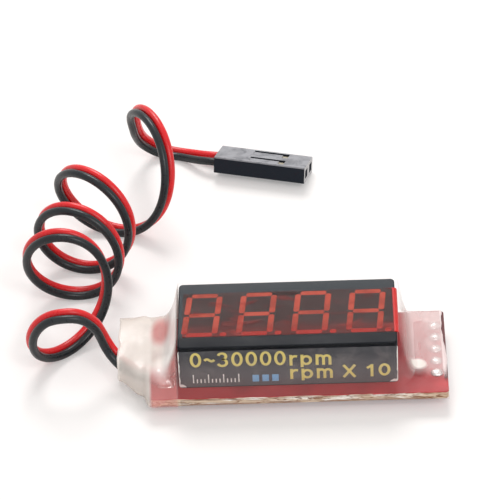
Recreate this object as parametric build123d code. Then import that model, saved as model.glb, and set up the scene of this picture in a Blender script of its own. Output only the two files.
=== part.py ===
from build123d import *
import os
from math import radians, sin, tan, cos

# A pocket tachometer: a four-digit display on a circuit board inside a clear shrunk sleeve,
# with a curled twin lead that ends in a two-way socket. Millimetres.
# +X runs along the board, +Y away from the reader, +Z up. The origin lies on the surface the
# sleeve rests on, under the middle of the board and sleeve.

# Circuit board
board_length = 41.0
board_width = 17.4
board_thickness = 1.2
board_corner = 0.5
pad_thickness = 0.05
pad_corner = 0.45

# Display module, face up on the board
display_length = 30.1
display_width = 14.0
display_height = 7.1
display_margin = 4.0
display_setback = 0.64
display_corner = 0.6
display_rim = 0.25
display_skirt = 0.9
display_base_thickness = 1.0
display_base_recess = 0.3
digit_count = 4
digit_pitch = 7.55
digit_height = 9.2
digit_width = 5.0
digit_slant = 5.0
digits_shift = -0.4
segment_width = 0.8
segment_gap = 0.22
segment_bevel = 0.2
segment_depth = 2.2
point_width = 0.9
point_offset = 3.3

# Display pins, two rows under the display
pins_per_row = 6
pin_pitch = 2.54
pin_row_spacing = 10.16
pin_size = 0.5
pin_tip = 0.1
pin_reach = 0.9
pin_hole = 0.8
joint_radius = 0.75
joint_height = 0.6
joint_sides = 8
joint_slope = (0.5, 0.32)

# Tinted strip over the digits and printed label on the front wall
filter_thickness = 0.1
filter_width = 9.5
filter_overhang = 0.3
filter_drop = 2.6
filter_bend = 0.35
label_thickness = 0.1
label_height = 6.3
label_gap = 0.2
label_corner = 0.3

# Clear shrunk sleeve
film_wall = 0.15
film_gap = 0.05
film_level_gap = 0.1
film_base_half = 6.6
mouth_overhang = 4.6
mouth_width = 13.6
mouth_height = 5.2
mouth_shift = 1.8
mouth_flat = 0.5
mouth_side = 2.2
end_setback = 0.6
left_height = 5.2
right_height = 3.9
shoulder_half = 6.4
shoulder_shift = 0.2
mouth_setback = 0.3
end_pinch = 0.3
edge_corner = 0.3
side_corner = 0.1
base_corner = 0.6
slope_corner = 0.8
mouth_corners = (1.6, 0.9, 1.2)
mouth_blend = 0.55
end_blend = 0.25
end_blend_shift = 1.0

# Where the film falls off the display's ends: distance from the end, and share of the drop
left_fall = [(0.8, 0.35), (1.8, 0.72), (3.0, 0.93)]
right_fall = [(0.4, 0.5), (1.1, 0.9), (2.2, 1.0)]

# Parts under the board
tallest_part = 1.7
chip_length = 9.9
chip_width = 3.9
chip_height = 1.45
chip_standoff = 0.15
chip_pin_count = 16
chip_pitch = 1.27
chip_span = 6.0
chip_dot_radius = 0.4
chip_dot_depth = 0.05
chip_dot_inset = 1.0
body_draft = 0.1
lead_gauge = 0.2
lead_breadth = 0.4
lead_foot = 0.6
transistor_length = 2.9
transistor_width = 1.3
transistor_height = 1.0
transistor_span = 2.5
transistor_foot = 0.3
transistor_standoff = 0.1
transistor_pitch = 0.95
transistor_spacing = 3.6
transistor_inset = 4.2
regulator_length = 4.5
regulator_width = 2.5
regulator_height = 1.5
regulator_pitch = 1.5
regulator_tab_width = 1.65
regulator_grip = 0.4
regulator_inset = 4.0
regulator_y = 3.4
chip_part_length = 1.6
chip_part_width = 0.8
chip_part_height = 0.45
chip_part_cap = 0.3
chip_part_inset = 0.02
resistor_count = 8
resistor_spacing = 1.7
resistor_inset = 2.9
capacitor_width = 1.25
capacitor_length = 2.0
capacitor_height = 0.85
near_capacitors = [(5.4, -6.0), (8.2, 5.8)]
far_capacitor_inset = 5.5
tantalum_length = 3.2
tantalum_width = 1.6
tantalum_height = 1.6
tantalum_inset = 8.8
tantalum_y = -2.6
resonator_length = 3.2
resonator_width = 1.3
resonator_height = 0.9
resonator_inset = 9.6
resonator_y = 2.4
diode_length = 2.7
diode_width = 1.6
diode_height = 1.1
diode_inset = 3.6
diode_y = -3.9
terminal_wrap = 0.12
terminal_share = 0.7

# Solder pads on top
wire_pad_length = 2.4
wire_pad_width = 1.9
wire_pad_x = -16.1
wire_pad_inset = 2.1
wire_pad_y = -4.1
wire_pad_pitch = 2.54
service_pad_count = 5
service_pitch = 2.54
service_pad_radius = 0.8
service_pad_inset = 1.5
service_pad_shift = 0.36
service_dome = 0.35
service_slope = (0.2, 0.35)
service_sides = 14

# Twin lead
wire_diameter = 1.2
wire_sides = 12
wire_colours = ("black", "red")
core_diameter = 0.6
core_bared = 1.0
solder_length = 2.0
solder_width = 1.6
solder_height = 1.15
solder_corner = 0.45
solder_slope = (0.8, 0.45)

# Plug
plug_way_count = 2
plug_pitch = 2.54
plug_thickness = 2.54
plug_length = 14.0
plug_front_wall = 0.9
plug_bore = 1.85
plug_pin_bore = 0.85
plug_pin_lead_in = 0.25
plug_window_length = 5.4
plug_window_width = 1.5
plug_window_start = 5.2
plug_tongue_width = 1.0
plug_tongue_length = 4.4
plug_edge = 0.15
plug_x = -2.59
plug_y = 46.2
plug_heading = -14.7
plug_tilt = 15.0
contact_box_length = 6.2
contact_box_width = 1.65
contact_hole = 0.8
contact_barrel = 1.6
contact_barrel_length = 3.2
contact_clearance = 0.05
contact_stop = 0.2
contact_back_wall = 1.0
wire_straight = 0.4

# Coil of the lead: one row each half turn, with the middle of the turn (x, y), its radius and
# the heading of its plane in degrees. The turns rest on the floor.
coil_rows = [
    (-29.7, -3.9, 6.2, -7.9),
    (-29.5, 2.3, 5.6, 20.3),
    (-30.6, 9.8, 6.3, 19.9),
    (-28.3, 16.3, 7.8, 2.8),
    (-29.5, 19.8, 6.5, -10.4),
    (-28.5, 22.6, 6.6, -16.6),
    (-28.1, 26.0, 6.9, -21.1),
    (-25.9, 29.9, 7.1, -31.9),
    (-21.9, 36.2, 6.6, -38.7),
    (-14.5, 43.6, 8.0, -28.8),
    (-7.7, 50.9, 7.9, -20.2),
]
coil_start = 0.12
coil_end = 4.5
coil_sections = 10
coil_sides = 24
coil_evening = 0.5

# Points of the two wires where they aren't coiled: from the board to the coil, and from the coil
# to the plug
exit_routes = {
    "black": [
        (-17.3, -5.4, 3.8), (-19.2, -4.8, 3.75), (-20.9, -3.4, 3.5), (-22.45, -2.05, 3.6),
        (-23.7, -1.0, 4.5), (-24.6, -0.45, 5.95),
    ],
    "red": [
        (-17.25, -2.8, 3.8), (-18.6, -2.8, 3.75), (-20.1, -2.3, 3.5), (-21.65, -1.0, 3.4),
        (-23.15, 0.15, 4.2), (-24.2, 0.85, 5.8),
    ],
}
plug_routes = {
    "black": [
        (-21.8, 47.1, 8.2), (-21.7, 48.4, 6.3), (-21.2, 49.95, 3.9), (-20.15, 50.8, 2.2),
        (-18.7, 51.0, 1.1), (-17.05, 51.0, 0.62), (-15.3, 50.5, 0.65), (-13.7, 49.3, 1.1),
        (-12.1, 47.9, 1.75),
    ],
    "red": [
        (-21.25, 48.1, 9.0), (-21.1, 49.3, 6.9), (-20.7, 50.95, 4.5), (-19.9, 52.0, 2.75),
        (-18.6, 52.4, 1.4), (-16.8, 52.3, 0.7), (-14.9, 51.8, 0.62), (-12.8, 50.8, 0.95),
        (-11.2, 49.9, 1.3),
    ],
}

# Levels and places that follow from the dimensions. The board grows away from the lead's pads.
board_left = wire_pad_x - wire_pad_inset
board_right = board_left + board_length
mouth_x = board_left - mouth_overhang
board_bottom = film_wall + film_gap + tallest_part
board_top = board_bottom + board_thickness
display_left = board_left + display_margin
display_right = display_left + display_length
display_x = (display_left + display_right) / 2
display_front = display_setback - display_width / 2
display_back = display_setback + display_width / 2
display_top = board_top + display_height
film_top = display_top + filter_thickness + film_gap
film_side = board_width / 2

nodes = {}


def keep(name, *solids):
    """Store the solids of one named piece."""
    nodes[name] = list(solids)


def under(x, y, turn=0.0):
    """Place of a part that is soldered under the board, built seated on z = 0."""
    return Pos(x, y, board_bottom) * Rot(180, 0, 0) * Rot(0, 0, turn)


def block(length, width, height, corner=0.0):
    """A block seated on z = 0, with its upright edges rounded by corner."""
    solid = Pos(0, 0, height / 2) * Box(length, width, height)
    return fillet(solid.edges().filter_by(Axis.Z), corner) if corner else solid


# Circuit board and its pads

def pin_places():
    """Where the display's pins pass the board."""
    places = []
    for row in (-1, 1):
        for index in range(pins_per_row):
            x = display_x + (index - (pins_per_row - 1) / 2) * pin_pitch
            places.append((x, display_setback + row * pin_row_spacing / 2))
    return places


def service_places():
    """Where the pads near the board's right end lie."""
    x = board_right - service_pad_inset
    first = service_pad_shift - (service_pad_count - 1) / 2 * service_pitch
    return [(x, first + index * service_pitch) for index in range(service_pad_count)]


def wire_pad_places():
    """Where the black and the red wire are soldered down."""
    return [(wire_pad_x, wire_pad_y + side * wire_pad_pitch / 2) for side in (-1, 1)]


def circuit_board():
    """The board with its pin holes."""
    middle = (board_left + board_right) / 2
    board = Pos(middle, 0, board_bottom) * block(board_length, board_width, board_thickness, board_corner)
    level = board_bottom + board_thickness / 2
    return board - [
        Pos(x, y, level) * Cylinder(pin_hole / 2, 2 * board_thickness) for x, y in pin_places()
    ]


def tinned_pads():
    """Pads for the two wires and the row of tinned service pads, as separate solids."""
    pads = [
        Pos(x, y, board_top) * block(wire_pad_length, wire_pad_width, pad_thickness, pad_corner)
        for x, y in wire_pad_places()
    ]
    for x, y in service_places():
        button = extrude(RegularPolygon(service_pad_radius, service_sides), amount=service_dome)
        rim = button.faces().sort_by(Axis.Z)[-1].edges()
        pads.append(Pos(x, y, board_top) * chamfer(rim, *service_slope))
    return pads


# Display module

def lean(x, y):
    """Slant a point of a digit to the right with its height."""
    return x + y * tan(radians(digit_slant)), y


def bar_outline(x, y, length, width):
    """Corners of a segment with cut corners, leaning with the digit."""
    long, wide, cut = length / 2, width / 2, segment_bevel
    corners = [
        (-long + cut, -wide), (long - cut, -wide), (long, -wide + cut), (long, wide - cut),
        (long - cut, wide), (-long + cut, wide), (-long, wide - cut), (-long, -wide + cut),
    ]
    return [lean(x + across, y + up) for across, up in corners]


def digit_outlines():
    """Outlines of seven segments and a point, about the middle of a digit."""
    side = (digit_width - segment_width) / 2
    row = (digit_height - segment_width) / 2
    flat_length = digit_width - 2 * segment_width + 2 * segment_bevel - segment_gap
    tall_length = row - 2 * segment_gap
    outlines = [bar_outline(0, level * row, flat_length, segment_width) for level in (-1, 0, 1)]
    for across in (-1, 1):
        for up in (-1, 1):
            outlines.append(bar_outline(across * side, up * row / 2, segment_width, tall_length))
    outlines.append(bar_outline(point_offset, -row, point_width, segment_width))
    return outlines


def digit_segments():
    """The cast segments of all digits, flush with the display's face."""
    solids = []
    for index in range(digit_count):
        x = display_x + digits_shift + (index - (digit_count - 1) / 2) * digit_pitch
        face = Plane((x, display_setback, display_top))
        for outline in digit_outlines():
            sketch = face * make_face(Polyline(*outline, close=True))
            solids.append(extrude(sketch, amount=-segment_depth))
    return solids


def display_base_cut():
    """The recess in the bottom of the display's shell."""
    depth = display_base_recess + display_base_thickness
    return Pos(display_x, display_setback, board_top) * block(
        display_length - 2 * display_skirt, display_width - 2 * display_skirt, depth
    )


def display_housing(segments):
    """The moulded shell: rounded face, cavities for the segments, recess below."""
    shell = Pos(display_x, display_setback, board_top) * block(
        display_length, display_width, display_height, display_corner
    )
    rim = shell.faces().sort_by(Axis.Z)[-1].edges()
    shell = fillet(rim, display_rim)
    return shell - [display_base_cut(), *segments]


def display_base():
    """The carrier in the bottom of the display, with a hole for each pin."""
    base = Pos(display_x, display_setback, board_top + display_base_recess) * block(
        display_length - 2 * display_skirt, display_width - 2 * display_skirt, display_base_thickness
    )
    middle = board_top + display_base_recess + display_base_thickness / 2
    return base - [
        Pos(x, y, middle) * Box(pin_size, pin_size, 2 * display_base_thickness) for x, y in pin_places()
    ]


def display_pins():
    """Square pins from the carrier down through the board."""
    top = board_top + display_base_recess + display_base_thickness
    bottom = board_bottom - pin_reach
    pins = []
    for x, y in pin_places():
        pin = Pos(x, y, bottom) * block(pin_size, pin_size, top - bottom)
        pins.append(chamfer(pin.faces().sort_by(Axis.Z)[0].edges(), pin_tip))
    return pins


def pin_joints(pins):
    """Solder cones round the pins, under the board."""
    joints = []
    for (x, y), pin in zip(pin_places(), pins):
        foot = Pos(x, y, board_bottom) * RegularPolygon(joint_radius, joint_sides)
        joint = extrude(foot, amount=-joint_height)
        rim = joint.faces().sort_by(Axis.Z)[0].edges()
        joints.append(chamfer(rim, *joint_slope) - pin)
    return joints


def red_filter():
    """The tinted strip over the digits, bent down past the right end of the display."""
    edge = display_right + filter_overhang
    with BuildSketch(Plane.XZ.offset(-display_setback)) as profile:
        with BuildLine():
            run = FilletPolyline(
                (display_left, display_top + filter_thickness),
                (edge, display_top + filter_thickness),
                (edge, display_top - filter_drop),
                radius=filter_bend + filter_thickness,
            )
            inner = FilletPolyline(
                (display_left, display_top),
                (edge - filter_thickness, display_top),
                (edge - filter_thickness, display_top - filter_drop),
                radius=filter_bend,
            )
            Line(run @ 0, inner @ 0)
            Line(run @ 1, inner @ 1)
        make_face()
    return extrude(profile.sketch, amount=filter_width / 2, both=True)


def range_label():
    """The label on the display's front wall."""
    wall = Plane.XZ.offset(-display_front)
    middle = board_top + label_gap + label_height / 2
    outline = Pos(display_x, middle) * RectangleRounded(display_length, label_height, label_corner)
    return extrude(wall * outline, amount=label_thickness)


# Clear sleeve

def outline_points(top, side, base):
    """Eight corners of a sleeve section: top, side and base edges as (front, back, levels)."""
    return [
        (top[0], top[2]), (top[1], top[2]), (side[1], side[3]), (side[1], side[2]),
        (base[1], base[2]), (base[0], base[2]), (side[0], side[2]), (side[0], side[3]),
    ]


def corner_radii(top, side, base):
    """Fillet radii of a section's corners, in the order of outline_points."""
    return [top, top, side, side, base, base, side, side]


def blend_points(first, second, share):
    """Section between two others, with share of the second."""
    return [
        (a[0] + (b[0] - a[0]) * share, a[1] + (b[1] - a[1]) * share)
        for a, b in zip(first, second)
    ]


def section_face(x, points, radii, grow):
    """A sleeve section at x as a face, grown outwards by grow."""
    with BuildSketch(Plane.YZ.offset(x)) as section:
        with BuildLine():
            FilletPolyline(*points, radius=radii, close=True)
        make_face()
        if grow:
            offset(amount=grow)
    return section.sketch


def sleeve_sections():
    """Stations from the mouth to the display's left end, and from its right end to the edge."""
    board_side = (
        -film_side, film_side, board_bottom - film_level_gap, board_top + film_level_gap
    )
    base = (-film_base_half, film_base_half, film_wall)
    over_display = outline_points(
        (display_front - film_gap, display_back + film_gap, film_top), board_side, base
    )
    shoulder = (shoulder_shift - shoulder_half, shoulder_shift + shoulder_half)
    left_end = outline_points((*shoulder, left_height), board_side, base)
    right_top = outline_points((*shoulder, right_height), board_side, base)
    right_end = outline_points(
        (*shoulder, board_top + film_gap + end_pinch), board_side,
        (-film_base_half, film_base_half, board_bottom - film_gap - end_pinch),
    )
    reach = mouth_width / 2 - film_wall
    middle = mouth_height / 2
    flat = (mouth_shift - mouth_flat * reach, mouth_shift + mouth_flat * reach)
    mouth = outline_points(
        (*flat, mouth_height - film_wall),
        (mouth_shift - reach, mouth_shift + reach, middle - mouth_side / 2, middle + mouth_side / 2),
        (*flat, film_wall),
    )
    tight = corner_radii(edge_corner, side_corner, base_corner)
    soft = corner_radii(slope_corner, side_corner, base_corner)
    loose = corner_radii(*mouth_corners)
    wall = display_left - film_gap
    left = [(wall, over_display, tight)]
    for distance, share in left_fall:
        left.append((wall - distance, blend_points(over_display, left_end, share), soft))
    left += [
        (board_left - mouth_setback, left_end, soft),
        ((board_left + mouth_x) / 2, blend_points(left_end, mouth, mouth_blend), loose),
        (mouth_x, mouth, loose),
    ]
    end = board_right - end_setback
    edge = display_right + filter_overhang + film_gap
    right = [(edge, over_display, tight)]
    for distance, share in right_fall:
        right.append((edge + distance, blend_points(over_display, right_top, share), soft))
    right += [
        ((edge + end) / 2 + end_blend_shift, blend_points(right_top, right_end, end_blend), tight),
        (end, right_end, tight),
    ]
    return left, right


def sleeve_body(grow):
    """The closed body inside the sleeve, grown by grow."""
    left, right = sleeve_sections()
    start, end = left[0], right[0]
    tube = extrude(section_face(start[0], start[1], start[2], grow), amount=end[0] - start[0])
    for stations in (left, right):
        faces = [section_face(x, points, radii, grow) for x, points, radii in stations]
        tube += loft(faces, ruled=True)
    return tube


def heat_shrink_sleeve():
    """The clear sleeve, open at its mouth and at the board's right end."""
    return sleeve_body(film_wall) - sleeve_body(0.0)


# Parts under the board

def gull_lead(side, body_half, span, foot, rise):
    """Bent lead from a body's side to its foot, seated on z = 0 and pointing along side * Y."""
    reach = span / 2
    knee = body_half + (reach - foot - body_half) / 2
    outline = [
        (body_half, rise - lead_gauge / 2), (body_half, rise + lead_gauge / 2),
        (knee + lead_gauge / 2, rise + lead_gauge / 2),
        (reach - foot + lead_gauge, lead_gauge), (reach, lead_gauge), (reach, 0),
        (reach - foot, 0), (knee - lead_gauge / 2, rise - lead_gauge / 2),
    ]
    face = make_face(Polyline(*outline, close=True))
    lead = extrude(Plane.YZ * face, amount=lead_breadth / 2, both=True)
    return lead if side > 0 else lead.rotate(Axis.Z, 180)


def moulded_body(length, width, height, standoff):
    """A moulded package whose four sides slope away from its parting line."""
    middle = standoff + (height - standoff) / 2
    draft = (height - standoff) * body_draft
    body = Part()
    for level in (standoff, height):
        waist = Plane((0, 0, middle)) * Rectangle(length, width)
        tip = Plane((0, 0, level)) * Rectangle(length - 2 * draft, width - 2 * draft)
        pair = [tip, waist] if level < middle else [waist, tip]
        body += loft(pair, ruled=True)
    return body


def controller():
    """The controller chip: body and leads."""
    body = moulded_body(chip_length, chip_width, chip_height + chip_standoff, chip_standoff)
    rise = chip_standoff + chip_height / 2
    dot = Cylinder(chip_dot_radius, 2 * chip_dot_depth)
    per_side = chip_pin_count // 2
    leads = []
    for index in range(per_side):
        x = (index - (per_side - 1) / 2) * chip_pitch
        for side in (-1, 1):
            leads.append(Pos(x, 0, 0) * gull_lead(side, chip_width / 2, chip_span, lead_foot, rise))
    corner = (chip_dot_inset - chip_length / 2, chip_dot_inset - chip_width / 2)
    body -= Pos(*corner, chip_height + chip_standoff) * dot
    place = under(display_x, display_setback)
    return [place * body], [place * lead for lead in leads]


def transistors():
    """The digit drivers in a row near the right end: bodies and leads."""
    bodies, leads = [], []
    rise = (transistor_standoff + transistor_height) / 2
    for index in range(digit_count):
        y = (index - (digit_count - 1) / 2) * transistor_spacing
        place = under(board_right - transistor_inset, y, 90)
        bodies.append(
            place * moulded_body(
                transistor_length, transistor_width, transistor_height, transistor_standoff
            )
        )
        for x, side in ((-transistor_pitch, -1), (transistor_pitch, -1), (0, 1)):
            lead = gull_lead(side, transistor_width / 2, transistor_span, transistor_foot, rise)
            leads.append(place * Pos(x, 0, 0) * lead)
    return bodies, leads


def regulator():
    """The voltage regulator: body, three leads and the heat tab."""
    place = under(board_left + regulator_inset, regulator_y, 90)
    body = moulded_body(regulator_length, regulator_width, regulator_height, lead_gauge)
    leads = []
    reach = (regulator_width + lead_foot - regulator_grip) / 2
    length = lead_foot + regulator_grip
    for index in (-1, 0, 1):
        foot = block(lead_breadth, length, lead_gauge)
        leads.append(place * Pos(index * regulator_pitch, -reach, 0) * foot)
    leads.append(place * Pos(0, reach, 0) * block(regulator_tab_width, length, lead_gauge))
    return [place * body], leads


def chip_parts(places, length, width, height, turn):
    """Ceramic bodies and their end caps, one pair of caps to a body."""
    bodies, caps = [], []
    for x, y in places:
        place = under(x, y, turn)
        inner = length - 2 * chip_part_cap
        slim = 2 * chip_part_inset
        bodies.append(place * Pos(0, 0, chip_part_inset) * block(inner, width - slim, height - slim))
        cap = block(chip_part_cap, width, height)
        for end in (-1, 1):
            caps.append(place * Pos(end * (inner + chip_part_cap) / 2, 0, 0) * cap)
    return bodies, caps


def resistor_places():
    """The row of segment resistors beside the display pins."""
    return [
        (display_right - resistor_inset, (index - (resistor_count - 1) / 2) * resistor_spacing)
        for index in range(resistor_count)
    ]


def capacitor_places():
    """The two capacitors near the lead, and the one between the chip and the resistors."""
    near = [(board_left + inset, y) for inset, y in near_capacitors]
    return [*near, (display_right - far_capacitor_inset, display_setback)]


def moulded_with_terminals(x, y, length, width, height, turn):
    """A moulded two-terminal part: body and the terminals folded under its ends."""
    place = under(x, y, turn)
    body = moulded_body(length, width, height, terminal_wrap)
    terminals = []
    for end in (-1, 1):
        foot = block(lead_foot, width * terminal_share, terminal_wrap)
        terminals.append(place * Pos(end * (length - lead_foot) / 2, 0, 0) * foot)
    return place * body, terminals


# Joints between lead and board

def wire_cores():
    """Bared ends of the two wires, laid into the solder."""
    cores = []
    for colour in wire_colours:
        end, inner = (Vector(*point) for point in exit_routes[colour][:2])
        section = Plane(end, z_dir=end - inner) * Circle(core_diameter / 2)
        cores.append(extrude(section, amount=core_bared))
    return cores


def lead_solder(cores):
    """A drop of solder over each bared end."""
    drops = []
    level = board_top + pad_thickness
    for (x, y), core in zip(wire_pad_places(), cores):
        foot = chamfer(Rectangle(solder_length, solder_width).vertices(), solder_corner)
        drop = extrude(foot, amount=solder_height)
        rim = drop.faces().sort_by(Axis.Z)[-1].edges()
        drops.append(Pos(x, y, level) * chamfer(rim, *solder_slope) - core)
    return drops


# Lead

def coil_row(turn):
    """Middle, radius and heading of the coil after so many turns, on a smooth curve."""
    step = turn * 2
    index = min(int(step), len(coil_rows) - 2)
    share = step - index
    before = coil_rows[max(index - 1, 0)]
    first, second = coil_rows[index], coil_rows[index + 1]
    after = coil_rows[min(index + 2, len(coil_rows) - 1)]
    return [
        b + 0.5 * share * (c - a) + share ** 2 * (a - 2.5 * b + 2 * c - 0.5 * d)
        + share ** 3 * (1.5 * (b - c) + 0.5 * (d - a))
        for a, b, c, d in zip(before, first, second, after)
    ]


def coil_middle(turn):
    """Middle and radius of the coil, evened with the turns beside it."""
    last = (len(coil_rows) - 1) / 2
    before, here, after = (
        coil_row(min(max(turn + shift, 0.0), last)) for shift in (-coil_evening, 0.0, coil_evening)
    )
    x, y, radius, _ = [(a + 2 * b + c) / 4 for a, b, c in zip(before, here, after)]
    return Vector(x, y, radius + wire_diameter / 2), radius + wire_diameter / 2


def lead_coil():
    """One closed body with the outer shape of the coil."""
    rings = []
    step = (coil_end - coil_start) / (coil_sections - 1)
    for index in range(coil_sections):
        turn = coil_start + index * step
        middle, outer = coil_middle(turn)
        along = coil_middle(turn + step / 2)[0] - coil_middle(turn - step / 2)[0]
        direction = Vector(along.X, along.Y, 0)
        place = Plane(middle, x_dir=(0, 0, 1), z_dir=direction)
        rings.append(place * RegularPolygon(outer, coil_sides))
    return loft(rings, ruled=True)


def wire_tube(name, points):
    """A wire along straight runs joined by arcs as large as the runs allow."""
    vectors = [Vector(*point) for point in points]
    radii = []
    for before, corner, after in zip(vectors, vectors[1:], vectors[2:]):
        turn = (corner - before).get_angle(after - corner)
        shorter = min((corner - before).length, (after - corner).length)
        radii.append(0.45 * shorter / tan(radians(turn / 2)))
    path = FilletPolyline(*vectors, radius=radii)
    section = Plane(path @ 0, z_dir=path % 0) * RegularPolygon(wire_diameter / 2, wire_sides)
    tube = sweep(section, path=path)
    share = tube.volume / (section.area * path.length)
    print(name, "length", round(path.length, 1), "radii", [round(r, 1) for r in radii],
          "volume share", round(share, 4))
    return tube


def plug_place():
    """Where the plug lies: on the floor, turned and tipped on its back edge."""
    tilt = radians(plug_tilt)
    width = plug_way_count * plug_pitch
    rise = width / 2 * sin(tilt) + plug_thickness / 2 * cos(tilt)
    return Pos(plug_x, plug_y, rise) * Rot(0, 0, plug_heading) * Rot(-plug_tilt, 0, 0)


def socket_shift(index):
    """Distance of a socket from the plug's middle, across the plug."""
    return (index - (plug_way_count - 1) / 2) * plug_pitch


def contact_front():
    """Distance of the contacts' front ends from the plug's middle."""
    return plug_length / 2 - plug_front_wall - contact_clearance


def plug_housing():
    """The socket housing: a bore, a window and a latch tongue for each contact."""
    width = plug_way_count * plug_pitch
    body = Box(plug_length, width, plug_thickness)
    body = chamfer(body.edges().filter_by(Axis.X), plug_edge)
    bore_length = plug_length - plug_front_wall
    window_middle = -plug_length / 2 + plug_window_start + plug_window_length / 2
    tongue_middle = window_middle - (plug_window_length - plug_tongue_length) / 2
    roof = (plug_thickness - plug_bore) / 2
    roof_level = plug_thickness / 2 - roof / 2
    tongues = []
    for index in range(plug_way_count):
        y = socket_shift(index)
        body -= Pos(-plug_front_wall / 2, y, 0) * Box(bore_length, plug_bore, plug_bore)
        body -= Pos(plug_length / 2, y, 0) * Box(3 * plug_front_wall, plug_pin_bore, plug_pin_bore)
        mouth = plug_pin_bore / 2 + plug_pin_lead_in
        body -= Pos(plug_length / 2, y, 0) * loft([
            Plane((-plug_pin_lead_in, 0, 0), z_dir=(1, 0, 0)) * Rectangle(plug_pin_bore, plug_pin_bore),
            Plane((0, 0, 0), z_dir=(1, 0, 0)) * Rectangle(2 * mouth, 2 * mouth),
        ], ruled=True)
        body -= Pos(window_middle, y, roof_level) * Box(plug_window_length, plug_window_width, 2 * roof)
        tongues.append(Pos(tongue_middle, y, roof_level - roof / 6) * Box(
            plug_tongue_length, plug_tongue_width, roof * 2 / 3
        ))
    for tongue in tongues:
        body += tongue
    return plug_place() * body


def plug_contacts():
    """A crimp contact in each bore, gripping the end of its wire."""
    contacts = []
    front = contact_front()
    for index in range(plug_way_count):
        box_middle = front - contact_box_length / 2
        contact = Pos(box_middle, 0, 0) * Box(contact_box_length, contact_box_width, plug_bore)
        barrel_middle = front - contact_box_length - contact_barrel_length / 2
        contact += Pos(barrel_middle, 0, 0) * Rot(0, 90, 0) * Cylinder(
            contact_barrel / 2, contact_barrel_length
        )
        hole = Box(contact_box_length, contact_hole, contact_hole)
        contact -= Pos(box_middle + contact_back_wall, 0, 0) * hole
        contact -= Pos(barrel_middle - contact_stop, 0, 0) * Rot(0, 90, 0) * Cylinder(
            wire_diameter / 2, contact_barrel_length
        )
        contacts.append(plug_place() * Pos(0, socket_shift(index), 0) * contact)
    return contacts


def plug_end_points(index):
    """Last points of a wire: just behind the plug, and the end inside its contact."""
    rear = -plug_length / 2
    stop = contact_front() - contact_box_length - contact_stop
    return [
        (plug_place() * Pos(along, socket_shift(index), 0)).position
        for along in (rear - wire_straight, stop)
    ]


def build_board():
    """The board, the display on it and the sleeve round them."""
    segments = digit_segments()
    pins = display_pins()
    keep("circuit_board", circuit_board())
    keep("tinned_pads", *tinned_pads())
    keep("display_housing", display_housing(segments))
    keep("digit_segments", *segments)
    keep("display_base", display_base())
    keep("display_pins", *pins)
    keep("pin_joints", *pin_joints(pins))
    keep("red_filter", red_filter())
    keep("range_label", range_label())
    keep("heat_shrink_sleeve", heat_shrink_sleeve())


def build_underside():
    """What is soldered under the board."""
    bodies, leads = controller()
    keep("controller_body", *bodies)
    keep("controller_leads", *leads)
    bodies, leads = transistors()
    keep("digit_drivers", *bodies)
    keep("digit_driver_leads", *leads)
    bodies, leads = regulator()
    keep("regulator_body", *bodies)
    keep("regulator_leads", *leads)
    bodies, caps = chip_parts(
        resistor_places(), chip_part_length, chip_part_width, chip_part_height, 0
    )
    keep("segment_resistors", *bodies)
    keep("resistor_caps", *caps)
    bodies, caps = chip_parts(
        capacitor_places(), capacitor_length, capacitor_width, capacitor_height, 0
    )
    keep("ceramic_capacitors", *bodies)
    keep("capacitor_caps", *caps)
    body, terminals = moulded_with_terminals(
        board_left + tantalum_inset, tantalum_y, tantalum_length, tantalum_width, tantalum_height, 0
    )
    keep("tantalum_capacitor", body)
    keep("tantalum_terminals", *terminals)
    body, terminals = moulded_with_terminals(
        board_left + resonator_inset, resonator_y, resonator_length, resonator_width, resonator_height, 90
    )
    keep("clock_resonator", body)
    keep("resonator_terminals", *terminals)
    body, terminals = moulded_with_terminals(
        board_left + diode_inset, diode_y, diode_length, diode_width, diode_height, 0
    )
    keep("input_diode", body)
    keep("diode_terminals", *terminals)


def build_lead():
    """The twin lead from its solder joints to its plug."""
    cores = wire_cores()
    coil = lead_coil()
    keep("wire_cores", *cores)
    keep("lead_solder", *lead_solder(cores))
    keep("lead_coil", coil)
    keep("plug_housing", plug_housing())
    keep("plug_contacts", *plug_contacts())
    for index, colour in enumerate(wire_colours):
        tube = wire_tube("exit " + colour, exit_routes[colour])
        keep("lead_" + colour + "_exit", tube - coil)
        tube = wire_tube("plug " + colour, plug_routes[colour] + plug_end_points(index))
        keep("lead_" + colour + "_plug_run", tube - coil)


def write():
    """Write one file for each piece."""
    os.makedirs("parts", exist_ok=True)
    for name, solids in nodes.items():
        shapes = [solid for piece in solids for solid in piece.solids()]
        export_step(Compound(children=shapes), "parts/" + name + ".step")


build_board()
build_underside()
build_lead()
write()
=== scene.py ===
from math import cos, pi, radians, sin

import bmesh
import bpy
from mathutils import Matrix, Vector, noise


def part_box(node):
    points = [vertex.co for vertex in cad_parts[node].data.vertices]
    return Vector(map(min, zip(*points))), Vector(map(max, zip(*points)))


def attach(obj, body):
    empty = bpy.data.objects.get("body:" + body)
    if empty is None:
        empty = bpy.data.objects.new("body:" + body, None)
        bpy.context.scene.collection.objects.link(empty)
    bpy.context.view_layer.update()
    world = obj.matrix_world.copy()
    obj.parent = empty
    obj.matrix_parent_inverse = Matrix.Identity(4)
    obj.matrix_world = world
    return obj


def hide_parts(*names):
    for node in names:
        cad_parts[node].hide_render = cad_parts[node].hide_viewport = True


# A pocket tachometer: display and board in a clear shrunk sleeve, with a curled twin lead.
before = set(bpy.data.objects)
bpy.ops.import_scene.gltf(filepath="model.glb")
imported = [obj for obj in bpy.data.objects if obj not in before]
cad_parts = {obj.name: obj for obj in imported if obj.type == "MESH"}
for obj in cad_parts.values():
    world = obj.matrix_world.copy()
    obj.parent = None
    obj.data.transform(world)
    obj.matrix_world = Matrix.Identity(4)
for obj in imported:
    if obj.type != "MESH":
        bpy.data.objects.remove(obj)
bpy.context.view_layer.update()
mm = 0.001
root = "root"
print("frame loaded")


# Nodes and materials

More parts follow.
